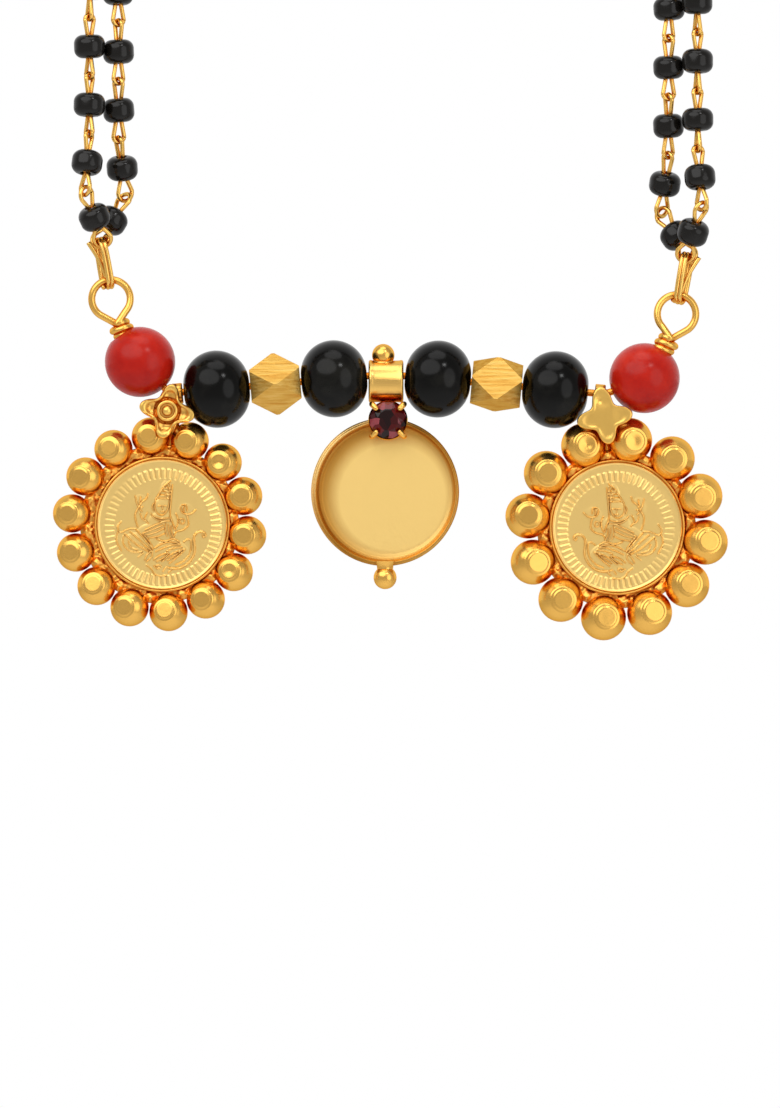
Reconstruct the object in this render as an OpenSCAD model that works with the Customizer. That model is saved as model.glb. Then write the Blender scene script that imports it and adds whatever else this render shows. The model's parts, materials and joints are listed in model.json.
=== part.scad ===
// A temple necklace of black bead chains, a wire bar of large beads, a round centre pendant and two coin
// medallions. It hangs as over a round peg: X runs across it, Y from its front to its back, Z up.
// The origin is where the top of the loop rests. Lengths are millimetres.

/* [Chains] */
// Distance from one interlocking point of a link to the next
link_pitch = 6.45; // [6.4:0.05:6.5]
// Diameter of the wire of a link
link_wire_d = 0.4; // [0.36:0.01:0.4]
// Radius of the round end of a link, to the middle of its wire
link_end_r = 0.585; // [0.57:0.005:0.6]
// Diameter of a seed bead
seed_d = 3.2; // [3:0.1:3.2]
// Length of a seed bead along its hole
seed_h = 2.4; // [2.2:0.1:2.5]
// Links in each of the four strands
link_count = 28; // [27:1:28]
// Distance between the two strands of a side
strand_gap = 3.45; // [3.4:0.05:3.5]
// Distance from the middle of the loop to the middle of a pair of strands
loop_r = 31.85; // [31.7:0.05:32]
// Straight length of chain above the left connector ring
straight_len = 139.6; // [138:0.2:141]

/* [Bar] */
// Diameter of the bar's wire
bar_d = 0.8; // [0.7:0.05:0.8]
// Diameter of an onyx bead
onyx_d = 8.5; // [8:0.1:8.6]
// Length of an onyx bead along its hole
onyx_h = 7.24; // [7:0.02:7.24]
// Length of a faceted bead along its hole
facet_bead_l = 5.5; // [5.3:0.1:5.5]
// Size of a faceted bead across its flats
facet_bead_a = 4.8; // [4.6:0.1:5]
// Diameter of a coral bead
coral_d = 7.8; // [7.6:0.1:7.8]
// Radius of the wire loop at each end of the bar, to the middle of its wire
eye_r = 2.12; // [2.08:0.01:2.16]

/* [Pendant] */
// Diameter of the round dish
dish_d = 16.3; // [16:0.1:16.4]
// Length of the band that hangs on the bar
band_w = 3.85; // [3.75:0.05:3.85]
// Diameter of the garnet
garnet_d = 4.1; // [4:0.1:4.1]

/* [Medallions] */
// Diameter of a coin
coin_d = 14.4; // [14.2:0.1:14.6]
// Short ridges round the edge of a coin
ray_count = 60; // [40:4:64]
// Greatest height of the figure on a coin
relief_h = 0.45; // [0.35:0.05:0.5]

/* [Hidden] */
$fn = 32;

GOLD = "goldenrod";
fit = 0.12;
swell = 1.03;
bar_w = bar_d / 2;
link_w = link_wire_d / 2;

// Corners of the bar's wire from its middle corner: x, z, bend radius
BAR = [
    [-29.65, 5.75, 0],
    [-23.98, -2.11, 0.9],
    [0, 0, 12],
    [24.4, -2.21, 0.9],
    [28.2, -0.14, 3],
    [31.43, 4.09, 0]
];
// Middle of the wire loop at each end: x, z
EYE = [[-30.25, 8.28], [31.96, 6.63]];
// Middle of each coral bead: x, z
CORAL = [[-27.06, 1.35], [28.45, -0.39]];
wrap_from = 0.35;
wrap_step = 0.62;

// Distances along the bar from its middle corner, each piece a fit away from the last
onyx_in = band_w / 2 + fit + 0.06 + onyx_h / 2;
facet_at = onyx_in + onyx_h / 2 + fit + facet_bead_l / 2;
onyx_out = facet_at + facet_bead_l / 2 + fit + onyx_h / 2;
tube_w = 1.15;
left_tube_at = onyx_out + onyx_h / 2 + fit + tube_w / 2;
right_tube_at = left_tube_at + 0.6;

// Parts of the pendant, from the bar's middle corner: x, y, z
BAND = [0, 0, -0.78];
GARNET = [0.22, -0.45, -5.08];
DISH = [-0.1, 0, -12.95];

// Connector rings of two turns of wire
ring_w = 0.24;
ring_r = 1.22;
ring_len = 5.4;
ring_lean = 10;
ring_turn = 14;
ring_step = 0.44;
ring_from_eye = eye_r - bar_w - ring_w - 1.5 * fit;

// The loop of chains: its arch is centred at loop_z, and its top rests on the origin
loop_z = -(loop_r - seed_d / 2);
bar_x = -0.8;
joint_under_ring = 0.54;
left_top = EYE[0][1] + (ring_from_eye + ring_len) * cos(ring_lean);
bar_z = loop_z - straight_len - left_top + joint_under_ring;
overlap = 2 * link_w + 1.3 * fit;
// Where the first joints of each strand are pushed to by its neighbour: outward, to the back
PUSHED_OUTER = [[-0.41, -0.47], [0.3, -2.6], [-0.12, -1.4]];
PUSHED_INNER = [[0.35, 0.32], [-0.6, 2.6], [0.12, 1.4]];
// Wider link ends where a strand meets its ring, bends most, and meets the ring at its top
first_end_r = 1.05;
bent_end_r = 0.86;
last_end_r = 0.88;
first_twist = 24;
turn_from = 4;
turn_links = 9;

// Rings and hook at the top of the loop
end_ring_r = 1.5;
end_ring_w = 0.35;
hook_w = 0.5;
hook_r = 1.6;

// Figure of a coin. A row is a limb: x and z of its start, of its end, radius at each
FIGURE = [
    [0.3, 2.9, 0.3, 4.9, 0.72, 0.16],
    [0.3, 1.6, 0.3, -0.8, 0.9, 0.7],
    [-0.9, 1.3, 1.5, 1.3, 0.42, 0.42],
    [-0.9, 1.3, -1.9, 0.2, 0.34, 0.3],
    [1.5, 1.3, 2.4, 0.2, 0.34, 0.3],
    [-1.9, 0.2, -1.8, 1.9, 0.28, 0.22],
    [2.4, 0.2, 2.3, 1.9, 0.28, 0.22],
    [0.3, -1, -2.4, -1.7, 0.6, 0.45],
    [0.3, -1, 3, -1.7, 0.6, 0.45],
    [-2.3, -1.9, 1.6, -2.1, 0.4, 0.34],
    [-0.9, -0.4, -1.6, -1.1, 0.28, 0.28]
];
// Round parts of the figure: x, z, radius
KNOBS = [[0.3, 2.5, 0.78], [-1.8, 2.3, 0.45], [2.3, 2.3, 0.45], [-2.5, -1.7, 0.5], [3.1, -1.7, 0.5]];

function unit(v) = v / norm(v);
function flat(p) = [p[0], 0, p[1]];
function world(x, y, z) = [bar_x + x, y, bar_z + z];

module along(from, to) {
    d = to - from;
    heading = atan2(d[1], d[0]);
    translate(from) rotate([0, acos(d[2] / norm(d)), heading]) rotate([0, 0, -heading]) children();
}

module rod(from, to, r) {
    along(from, to) cylinder(r = r, h = norm(to - from));
}

// An arc of wire in the XZ plane about its own middle, with a ball at each end
module arc(r, w, from, sweep) {
    rotate([90, 0, 0]) rotate([0, 0, from]) rotate_extrude(angle = sweep) translate([r, 0]) circle(w);
    for (a = [from, from + sweep]) translate(r * [cos(a), 0, sin(a)]) sphere(w * swell);
}

// A closed teardrop of wire: a round end about its own middle, with legs to the point tip in the XZ plane
module teardrop(r, w, tip) {
    reach = norm(tip);
    toward = atan2(tip[2], tip[0]);
    open = acos(r / reach);
    arc(r, w, toward + open, 360 - 2 * open);
    for (s = [-1, 1]) rod(tip, r * [cos(toward + s * open), 0, sin(toward + s * open)], w);
    translate(tip) sphere(w * swell);
}

function turn_at(i) = let (a = BAR[i] - BAR[i - 1], b = BAR[i + 1] - BAR[i])
    atan2(a[0] * b[1] - a[1] * b[0], a[0] * b[0] + a[1] * b[1]);
function cut_at(i) = BAR[i][2] == 0 ? 0 : BAR[i][2] * tan(abs(turn_at(i)) / 2);
function bar_point(i, toward) = flat(BAR[i]) + cut_at(i) * unit(flat(BAR[toward]) - flat(BAR[i]));

module bar_corner(i) {
    turn = turn_at(i);
    r = BAR[i][2];
    d = unit(flat(BAR[i]) - flat(BAR[i - 1]));
    start = bar_point(i, i - 1);
    middle = start + sign(turn) * r * [-d[2], 0, d[0]];
    from = atan2(start[2] - middle[2], start[0] - middle[0]);
    translate(middle) arc(r, bar_w, turn > 0 ? from : from + turn, abs(turn));
}

// The eye at one end of the bar, with two wraps of wire round its neck
module bar_end(i, next, eye) {
    tip = flat(BAR[i]);
    middle = flat(eye);
    translate(middle) teardrop(eye_r, bar_w, tip - middle);
    along(tip, flat(BAR[next])) for (k = [0, 1])
        translate([0, 0, wrap_from + k * wrap_step])
            rotate_extrude() translate([2 * bar_w - 0.03, 0]) circle(bar_w);
}

module bar_wire() {
    color(GOLD) translate(world(0, 0, 0)) {
        for (i = [0 : len(BAR) - 2]) rod(bar_point(i, i + 1), bar_point(i + 1, i), bar_w);
        for (i = [1 : len(BAR) - 2]) bar_corner(i);
        bar_end(0, 1, EYE[0]);
        bar_end(5, 4, EYE[1]);
    }
}

// Bore of a coral bead from the corner through to the tip, and the flat that the wraps rest against
module coral_bore(tip, corner) {
    rod(corner - 0.3 * unit(tip - corner), tip, bar_w + 0.2);
    along(tip, corner) translate([0, 0, -5]) cylinder(r = 3, h = 5 + wrap_from + wrap_step + bar_w + fit);
}

module coral_bead_left() {
    color("firebrick") translate(world(0, 0, 0)) difference() {
        translate(flat(CORAL[0])) sphere(d = coral_d, $fn = 48);
        coral_bore(flat(BAR[0]), flat(BAR[1]));
    }
}

module coral_bead_right() {
    color("firebrick") translate(world(0, 0, 0)) difference() {
        translate(flat(CORAL[1])) sphere(d = coral_d, $fn = 48);
        coral_bore(flat(BAR[5]), flat(BAR[4]));
        rod(flat(BAR[3]), 1.07 * flat(BAR[4]) - 0.07 * flat(BAR[3]), bar_w + 0.23);
    }
}

function bar_slope(side) = let (c = side < 0 ? BAR[1] : BAR[3]) -atan2(c[1], abs(c[0]));

// Places a piece on the bar, side -1 left or 1 right, at a distance from the middle corner
module on_bar(side, distance) {
    corner = flat(side < 0 ? BAR[1] : BAR[3]);
    translate(world(0, 0, 0) + distance * unit(corner)) rotate([0, side * bar_slope(side), 0]) children();
}

module onyx_bead(side, distance) {
    bulge = onyx_h / 2;
    core = onyx_d / 2 - bulge;
    color([0.06, 0.06, 0.07]) on_bar(side, distance) rotate([0, 90, 0]) difference() {
        rotate_extrude($fn = 48) intersection() {
            union() {
                translate([core, 0]) circle(bulge);
                translate([0, -bulge]) square([core, onyx_h]);
            }
            translate([0, -bulge]) square([onyx_d / 2, onyx_h]);
        }
        cylinder(r = bar_w + 0.15, h = 2 * onyx_h, center = true);
    }
}

// A square block with its corners cut off to the middles of its edges, drilled along X
module faceted_bead(side, roll) {
    a = facet_bead_a;
    l = facet_bead_l;
    cut = [1 / l, 1 / a, 1 / a];
    color(GOLD) on_bar(side, facet_at) rotate([roll, 0, 0]) difference() {
        cube([l, a, a], center = true);
        for (x = [-1, 1], y = [-1, 1], z = [-1, 1]) along([0, 0, 0], [x * cut[0], y * cut[1], z * cut[2]])
            translate([-l, -l, 1.03 / norm(cut)]) cube(2 * l);
        rotate([0, 90, 0]) cylinder(r = bar_w + 0.15, h = 2 * l, center = true);
    }
}

module dish() {
    r = dish_d / 2;
    rotate([90, 0, 0]) rotate_extrude($fn = 96) polygon([
        [0, -0.4], [r - 0.75, -0.4], [r, 0.2], [r, 1], [r - 0.25, 1], [r - 1.55, 0.35], [0, 0.35]
    ]);
    translate([0, -0.3, -r - 1.27]) {
        sphere(r = 1.28);
        cylinder(r = 0.95, h = 1.8);
    }
}

module prong() {
    foot = [2, 0, 0.5];
    elbow = [garnet_d / 2 + 0.5, 0, 1.7];
    head = [garnet_d / 2 + 0.25, 0, 2.16];
    rod(foot, elbow, 0.28);
    translate(elbow) sphere(0.3);
    rod(elbow, head, 0.28);
    translate(head) sphere(0.36);
}

module centre_pendant() {
    color(GOLD) translate(world(0, 0, 0)) {
        difference() {
            translate(BAND) rotate([0, 90, 0]) cylinder(d = 4.7, h = band_w, center = true, $fn = 64);
            translate([0, 0, -0.25]) rotate([0, 90, 0]) cylinder(r = 0.75, h = 2 * band_w, center = true);
        }
        translate([-0.3, 0, 2.1]) sphere(r = 1.24);
        rod([0, 0.15, -2.5], [0, 0.15, -5.4], 0.6);
        difference() {
            union() {
                translate(GARNET) rotate([90, 0, 0]) translate([0, 0, -0.3])
                    cylinder(r = garnet_d / 2 + 0.12, h = 1.6, $fn = 48);
                translate(DISH) dish();
            }
            translate(GARNET) rotate([90, 0, 0]) translate([0, 0, 0.1])
                cylinder(r1 = 0.35, r2 = garnet_d / 2 + 0.12, h = 1.3, $fn = 48);
        }
        translate(GARNET) rotate([90, 0, 0]) for (q = [45 : 90 : 315]) rotate([0, 0, q]) prong();
    }
}

module garnet() {
    r = garnet_d / 2;
    color("maroon") translate(world(0, 0, 0) + GARNET) rotate([90, 0, 0]) {
        translate([0, 0, 0.3]) cylinder(r1 = 0.3, r2 = r, h = 1.25, $fn = 12);
        translate([0, 0, 1.55]) cylinder(r = r, h = 0.15, $fn = 12);
        translate([0, 0, 1.7]) cylinder(r1 = r, r2 = 1.15, h = 0.8, $fn = 12);
    }
}

// How deep a round part lies in the coin's face, so that it stands no higher than the relief
function sunk(r) = max(0, r - relief_h);

module figure() {
    for (row = FIGURE) {
        from = [row[0], sunk(row[4]), row[1]];
        to = [row[2], sunk(row[5]), row[3]];
        along(from, to) cylinder(r1 = row[4], r2 = row[5], h = norm(to - from));
    }
    for (knob = KNOBS) translate([knob[0], sunk(knob[2]), knob[1]]) sphere(knob[2]);
    for (a = [-60 : 20 : 60]) rod([0.3 + 1.6 * sin(a), 0.1, -2.2 - 0.5 * cos(a)],
        [0.3 + 3 * sin(a), 0.1, -2.4 - 1.7 * cos(a)], 0.32);
    translate([0.4, 0, -1.2]) arc(3.7, 0.2, -110, 105);
    translate([3.4, 0, -0.9]) arc(0.7, 0.2, -10, 200);
}

module coin() {
    r = coin_d / 2;
    rotate([90, 0, 0]) {
        translate([0, 0, -0.3]) cylinder(r = r, h = 1.2, $fn = 96);
        difference() {
            cylinder(r = r - 0.05, h = 1.02, $fn = 96);
            cylinder(r = r - 0.3, h = 3, $fn = 96);
        }
        linear_extrude(1.04) for (k = [0 : ray_count - 1]) rotate(k * 360 / ray_count)
            translate([5.75, -0.13]) square([1.1, 0.26]);
    }
    translate([0, -0.9, 0]) children();
}

module star_outline() {
    arm = 3.05;
    difference() {
        union() {
            circle(arm - 0.35, $fn = 4);
            for (q = [0 : 90 : 270]) rotate(q) translate([arm - 0.55, 0]) circle(0.55);
        }
        for (q = [45 : 90 : 315]) rotate(q) translate([4.95, 0]) circle(3, $fn = 48);
    }
}

module star(boss) {
    rotate([90, 0, 0]) {
        translate([0, 0, 2]) linear_extrude(0.7) star_outline();
        cylinder(r = 0.85, h = 2.1);
        if (boss) {
            translate([0, 0, 2.65]) rotate_extrude() translate([1.05, 0]) circle(0.2);
            translate([0, 0, 2.45]) sphere(0.7);
        }
    }
}

// Balls set in a ring, each worn flat where it faces the front
module ring_of_balls(count, r, spread, first, face) {
    for (k = [0 : count - 1]) {
        a = first + k * 360 / count;
        translate(spread * [sin(a), 0, cos(a)]) rotate([90, 0, face]) rotate_extrude() intersection() {
            circle(r);
            translate([0, -r]) square([r, 1.9 * r]);
        }
    }
}

// A medallion, from the wire in its hanging tube to the middles of its coin and its star
module medallion(side, coin_at, star_at, star_turn) {
    tilt = side * bar_slope(side);
    color(GOLD) on_bar(side, side < 0 ? left_tube_at : right_tube_at) {
        difference() {
            translate([0, 0, -0.1]) rotate([0, 90, 0]) cylinder(r = 1.1, h = tube_w, center = true);
            translate([0, 0, -0.1]) rotate([0, 90, 0]) cylinder(r = 0.62, h = 9, center = true);
        }
        rotate([0, -tilt, 0]) {
            rod([0, 0.2, -0.95], (norm(coin_at) - 8) * unit(coin_at) + [0, 0.2, 0], 0.6);
            translate(star_at) rotate([0, star_turn, 0]) star(side < 0);
            translate(coin_at) {
                rotate([-90, 0, 0]) cylinder(r = 8.7, h = 0.9, $fn = 96);
                coin() mirror([side > 0 ? 1 : 0, 0, 0]) figure();
                children();
            }
        }
    }
}

module medallion_left() {
    medallion(-1, [-1.97, 0, -14.48], [-1.1, 0, -2.02], 11) ring_of_balls(14, 2.09, 9.74, -5.8, -14);
}

module medallion_right() {
    medallion(1, [1.84, 0, -14.9], [0.51, 0, -2.68], -9.5) ring_of_balls(12, 2.45, 9.9, 8.4, 8);
}

// Runs from the eye toward the chains, side -1 left or 1 right
function ring_way(side) = [side * sin(ring_lean), 0, cos(ring_lean)];
function ring_foot(side) = flat(EYE[side < 0 ? 0 : 1]) + ring_from_eye * ring_way(side);
function ring_top(side) = world(0, 0, 0) + ring_foot(side) + ring_len * ring_way(side);

module connector_ring(side) {
    run = ring_len - 2 * ring_r;
    color(GOLD) translate(world(0, 0, 0) + ring_foot(side)) rotate([0, side * ring_lean, 0])
        rotate([0, 0, 90 - side * ring_turn]) for (k = [-1, 1]) translate([0, k * ring_step / 2, 0]) {
            translate([0, 0, ring_r]) arc(ring_r, ring_w, 180, 180);
            translate([0, 0, ring_r + run]) arc(ring_r, ring_w, 0, 180);
            for (s = [-1, 1]) translate([s * ring_r, 0, ring_r]) cylinder(r = ring_w, h = run);
        }
}

// Joints of a strand, set -1 inner or 1 outer. A joint is how far outward it lies of the loop's middle line,
// how far to the back, and how far along that line it is from the start of the arch.
function pushed(set, k) = (set > 0 ? PUSHED_OUTER : PUSHED_INNER)[k];
function twist(k) = first_twist + (90 - first_twist) * min(1, max(0, (k - turn_from) / turn_links));
function lateral(side, set, k) = k == 0 ? [side * ring_top(side)[0] - loop_r, 0] + pushed(set, 0)
    : k < 3 ? [set * strand_gap / 2, 0] + pushed(set, k)
    : k == link_count ? [set * 0.38, 0]
    : set * strand_gap / 2 * [cos(twist(k)), -sin(twist(k))];
function rise(side, set, k) = k == 0 ? ring_top(side)[2] - joint_under_ring - loop_z
    : k == link_count && set < 0 ? rise(side, 1, k)
    : let (d = lateral(side, set, k) - lateral(side, set, k - 1))
        rise(side, set, k - 1) + sqrt(link_pitch * link_pitch - d * d);
function on_loop(side, out, back, run) = let (r = loop_r + out, a = run / loop_r * 180 / PI)
    run < 0 ? [side * r, back, loop_z + run] : [side * r * cos(a), back, loop_z + r * sin(a)];
function joint(side, set, k) = let (p = lateral(side, set, k))
    on_loop(side, p[0], p[1], rise(side, set, k));

function is_bent(k) = k == 1 || k == link_count - 1;
function end_r(k) = is_bent(k) ? bent_end_r
    : k == 0 ? first_end_r
    : k == link_count ? last_end_r
    : link_end_r;

// The end of a link at joint k: a wire loop, round at its top and twisted shut in the bead
module link_loop(half, k) {
    r = end_r(k);
    reach = half + (is_bent(k) ? bent_end_r : overlap) / 2 - r;
    translate([0, 0, reach]) teardrop(r, link_w, [0, 0, seed_h * 0.45 - reach]);
}

// Link k of a strand. The planes of its loops are 0 across the necklace or 90 from its front to its back.
module link(half, k, set) {
    low_a = set > 0 && k > 0 ? 90 : 0;
    high_a = set > 0 && k < link_count - 1 ? 0 : 90;
    rotate([0, 0, high_a]) link_loop(half, k + 1);
    rotate([180, 0, low_a]) link_loop(half, k);
    cylinder(r = 0.44, h = seed_h + 0.3, center = true);
}

module seed_bead() {
    r = seed_d / 2;
    corner = 0.85;
    rotate_extrude() difference() {
        union() {
            translate([0, -seed_h / 2]) square([r - corner, seed_h]);
            translate([0, corner - seed_h / 2]) square([r, seed_h - 2 * corner]);
            for (s = [-1, 1]) translate([r - corner, s * (seed_h / 2 - corner)]) circle(corner);
        }
        translate([-r, -seed_h]) square([r + 0.62, 2 * seed_h]);
    }
}

module strand(side, set) {
    for (k = [0 : link_count - 1]) {
        from = joint(side, set, k);
        to = joint(side, set, k + 1);
        middle = (from + to) / 2;
        along(middle, to) {
            color(GOLD) link(norm(to - from) / 2, k, set);
            if (k < link_count - 1) color([0.08, 0.08, 0.09]) seed_bead();
        }
    }
}

// Where a side's chains meet its end ring, along the loop's middle line
function chain_end(side) = rise(side, 1, link_count) + overlap / 2 - link_w - end_ring_w - 2.2 * fit;
function ring_middle(side) = on_loop(side, 0, 0, chain_end(side) + end_ring_r);
function hook_end(side) = on_loop(side, 0, 0, chain_end(side) + 2 * end_ring_r - end_ring_w - hook_w - fit);

module end_ring(side) {
    color(GOLD) translate(ring_middle(side)) rotate([90, 0, 0])
        rotate_extrude() translate([end_ring_r, 0]) circle(end_ring_w);
}

// A hook bent like an S, lying flat along the top of the loop
module clasp_hook() {
    from = hook_end(-1);
    to = hook_end(1);
    span = norm(to - from);
    color(GOLD) along(from, to) {
        translate([0, 0, hook_r]) rotate([0, 0, 90]) arc(hook_r, hook_w, 150, 210);
        translate([0, 0, span - hook_r]) rotate([0, 0, 90]) arc(hook_r, hook_w, -30, 210);
        rod([0, hook_r, hook_r], [0, -hook_r, span - hook_r], hook_w);
    }
}

bar_wire();
coral_bead_left();
coral_bead_right();
onyx_bead(-1, onyx_out);  // onyx_bead_1
onyx_bead(-1, onyx_in);  // onyx_bead_2
onyx_bead(1, onyx_in);  // onyx_bead_3
onyx_bead(1, onyx_out);  // onyx_bead_4
faceted_bead(-1, -44);  // faceted_bead_left
faceted_bead(1, -16);  // faceted_bead_right
centre_pendant();
garnet();
medallion_left();
medallion_right();
connector_ring(-1);  // connector_ring_left
connector_ring(1);  // connector_ring_right
strand(-1, 1);  // strand_left_outer
strand(-1, -1);  // strand_left_inner
strand(1, 1);  // strand_right_outer
strand(1, -1);  // strand_right_inner
end_ring(-1);  // end_ring_left
end_ring(1);  // end_ring_right
clasp_hook();
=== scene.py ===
import json
import math

import bmesh
import bpy
import numpy as np
from mathutils import Matrix, Vector


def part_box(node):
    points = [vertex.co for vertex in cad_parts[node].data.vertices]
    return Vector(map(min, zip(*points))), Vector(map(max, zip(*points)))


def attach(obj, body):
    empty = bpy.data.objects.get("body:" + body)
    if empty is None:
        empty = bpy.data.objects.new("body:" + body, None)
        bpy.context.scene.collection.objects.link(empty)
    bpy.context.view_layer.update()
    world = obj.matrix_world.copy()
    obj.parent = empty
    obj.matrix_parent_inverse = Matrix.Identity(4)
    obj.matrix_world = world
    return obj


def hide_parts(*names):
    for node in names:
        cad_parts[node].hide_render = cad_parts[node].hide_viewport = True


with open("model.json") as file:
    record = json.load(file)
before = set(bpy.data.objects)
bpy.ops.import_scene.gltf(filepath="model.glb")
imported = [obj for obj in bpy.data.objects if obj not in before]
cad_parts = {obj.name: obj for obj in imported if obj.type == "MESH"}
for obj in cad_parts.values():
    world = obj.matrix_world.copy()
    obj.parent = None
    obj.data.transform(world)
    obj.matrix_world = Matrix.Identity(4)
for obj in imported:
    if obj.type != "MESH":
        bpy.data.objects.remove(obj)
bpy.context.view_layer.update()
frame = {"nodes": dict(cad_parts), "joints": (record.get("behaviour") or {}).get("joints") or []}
# Shapes and their places are in mm, and a mesh is made in metres
MM = 0.001
SIDES = {"left": -1, "right": 1}
JOINTS = {j["name"]: np.array(j["pos_m"]) / MM for j in frame["joints"]}
# The corner where the two halves of the bar meet, inside the band of the pendant
CORNER = JOINTS["centre_pendant_swing"] + [0, 0, 0.1]
rng = np.random.default_rng(7)


# Shapes: each is a pair of points and faces

def unit(v):
    v = np.asarray(v, float)
    return v / np.linalg.norm(v)


def turn(axis, degrees):
    return np.array(Matrix.Rotation(math.radians(degrees), 3, axis))


# Turns a shape that was made upwards so that it faces the viewer
FRONT = turn("X", 90)


def facing(direction):
    """Rotation that carries +Z to a direction by the shortest turn."""
    return np.array(Vector((0, 0, 1)).rotation_difference(Vector(unit(direction))).to_matrix())


def moved(shape, rotation=None, at=(0, 0, 0)):
    verts, faces = shape
    verts = np.asarray(verts, float)
    if rotation is not None:
        verts = verts @ np.asarray(rotation).T
    return verts + np.asarray(at, float), faces


def joined(shapes):
    verts, faces, base = [], [], 0
    for v, f in shapes:
        verts.append(v)
        faces += [tuple(i + base for i in face) for face in f]
        base += len(v)
    return np.vstack(verts), faces


def circle(count):
    return np.linspace(0, 2 * math.pi, count, endpoint=False)


def grid_faces(rows, cols, closed=False):
    """Quads between rows that go all the way round, and from the last row to the first one if closed."""
    faces = []
    for r in range(rows if closed else rows - 1):
        here, there = r * cols, (r + 1) % rows * cols
        for c in range(cols):
            beside = (c + 1) % cols
            faces.append((here + c, here + beside, there + beside, there + c))
    return faces


def capped_faces(rows, cols):
    """The same for an open grid, with a face over its first and its last row."""
    return grid_faces(rows, cols) + [tuple(range(cols)), tuple(range((rows - 1) * cols, rows * cols))]


def revolved(profile, sides, closed=False):
    """A profile of (radius, height) turned round Z, and from its last point back to its first if closed."""
    verts = [[r * math.cos(t), r * math.sin(t), z] for r, z in profile for t in circle(sides)]
    return np.array(verts), grid_faces(len(profile), sides, closed)


# A direction that no wire here starts in, to measure its first ring from
ASIDE = [0.3, 0.9, 0.2]


def swept(path, radius, sides, closed=False):
    """A tube along points, its ring carried along without twisting, with flat ends if it isn't closed."""
    path = np.asarray(path, float)
    n = len(path)
    radius = np.broadcast_to(radius, n)
    ahead = np.roll(path, -1, 0) if closed else np.vstack([path[1:], 2 * path[-1] - path[-2]])
    behind = np.roll(path, 1, 0) if closed else np.vstack([2 * path[0] - path[1], path[:-1]])
    along = [unit(v) for v in ahead - behind]
    side = unit(np.cross(along[0], ASIDE))
    sides_at = []
    for d in along:
        side = unit(side - d * np.dot(side, d))
        sides_at.append(side)
    twist = 0.0
    if closed:
        last = unit(sides_at[-1] - along[0] * np.dot(sides_at[-1], along[0]))
        twist = math.atan2(np.dot(np.cross(last, sides_at[0]), along[0]), np.dot(last, sides_at[0]))
    verts = []
    for i in range(n):
        u, w = sides_at[i], np.cross(along[i], sides_at[i])
        s = circle(sides) + twist * i / n
        verts.append(path[i] + radius[i] * (np.outer(np.cos(s), u) + np.outer(np.sin(s), w)))
    faces = grid_faces(n, sides, closed)
    if not closed:
        faces.append(tuple(range(sides))[::-1])
        faces.append(tuple(range((n - 1) * sides, n * sides)))
    return np.vstack(verts), faces


def smooth_path(points, step):
    """A Catmull-Rom curve through points, sampled about every step."""
    p = np.asarray(points, float)
    p = np.vstack([2 * p[0] - p[1], p, 2 * p[-1] - p[-2]])
    out = []
    for i in range(1, len(p) - 2):
        n = max(2, int(np.linalg.norm(p[i + 1] - p[i]) / step))
        for t in np.linspace(0, 1, n, endpoint=False):
            out.append(0.5 * (2 * p[i] + (p[i + 1] - p[i - 1]) * t
                              + (2 * p[i - 1] - 5 * p[i] + 4 * p[i + 1] - p[i + 2]) * t ** 2
                              + (3 * p[i] - p[i - 1] - 3 * p[i + 1] + p[i + 2]) * t ** 3))
    out.append(p[-2])
    return np.array(out)


def torus(r, w, sides, around):
    """A ring round Z of radius r, of wire with radius w."""
    a = circle(around)
    return swept(np.stack([r * np.cos(a), r * np.sin(a), 0 * a], 1), w, sides, closed=True)


def sphere(r, rings, sides):
    angles = np.linspace(1e-3, math.pi - 1e-3, rings)
    return revolved([(r * math.sin(a), -r * math.cos(a)) for a in angles], sides)


def lumpy(shape, amount, seed):
    """Pushes a round stone in and out a little by six slow waves."""
    verts, faces = shape
    verts = np.array(verts)
    local = np.random.default_rng(seed)
    push = np.zeros(len(verts))
    for _ in range(6):
        d, w = unit(local.normal(size=3)), local.uniform(0.25, 0.6)
        push += np.sin(verts @ d * w + local.uniform(0, 6.28))
    return verts * (1 + amount * push[:, None] / 3), faces


def ball_profile(r, flat=None, dent=0.0):
    """A ball about Z, or one with its top worn flat, a groove and a lip round the flat and a dent in it."""
    pts = []
    for a in np.linspace(1e-3, math.pi - 1e-3, 30 if flat is None else 60):
        x, z = r * math.sin(a), -r * math.cos(a)
        if flat is not None and z > 0:
            edge = r * math.sqrt(1 - flat ** 2)
            z = min(z, r * (flat + 0.015))
            lip = 0.03 * r * math.exp(-((x / edge - 1.22) / 0.1) ** 2)
            groove = 0.025 * r * math.exp(-((x / edge - 1.02) / 0.08) ** 2)
            z += lip - groove
            z -= dent * r * math.exp(-(x / (0.22 * r)) ** 2)
        pts.append((x, z))
    return pts


def ball(r, at, way=None, flat=None, dent=0.0, sides=36):
    """A ball at a place, its flat top turned to face a way."""
    shape = revolved(ball_profile(r, flat, dent), sides)
    return moved(shape, None if way is None else facing(way), at)


def box_middle(node):
    low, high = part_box(node)
    return np.array((low + high) / 2) / MM


def add(name, shape, look, replaces, body="chains", smooth=True, sharp=None):
    """A visible piece: its mesh and material, the body that it rides on, the nodes it replaces."""
    verts, faces = shape
    mesh = bpy.data.meshes.new(name)
    mesh.from_pydata((np.asarray(verts) * MM).tolist(), [], faces)
    mesh.update()
    mesh.materials.append(look)
    obj = bpy.data.objects.new(name, mesh)
    bpy.context.scene.collection.objects.link(obj)
    bm = bmesh.new()
    bm.from_mesh(mesh)
    bmesh.ops.recalc_face_normals(bm, faces=bm.faces)
    bm.to_mesh(mesh)
    bm.free()
    if smooth:
        mesh.polygons.foreach_set("use_smooth", [True] * len(mesh.polygons))
        if sharp is not None:
            mesh.set_sharp_from_angle(angle=math.radians(sharp))
    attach(obj, body)
    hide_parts(*replaces)


# Materials

def principled(m):
    return m.node_tree.nodes["Principled BSDF"]


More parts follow.
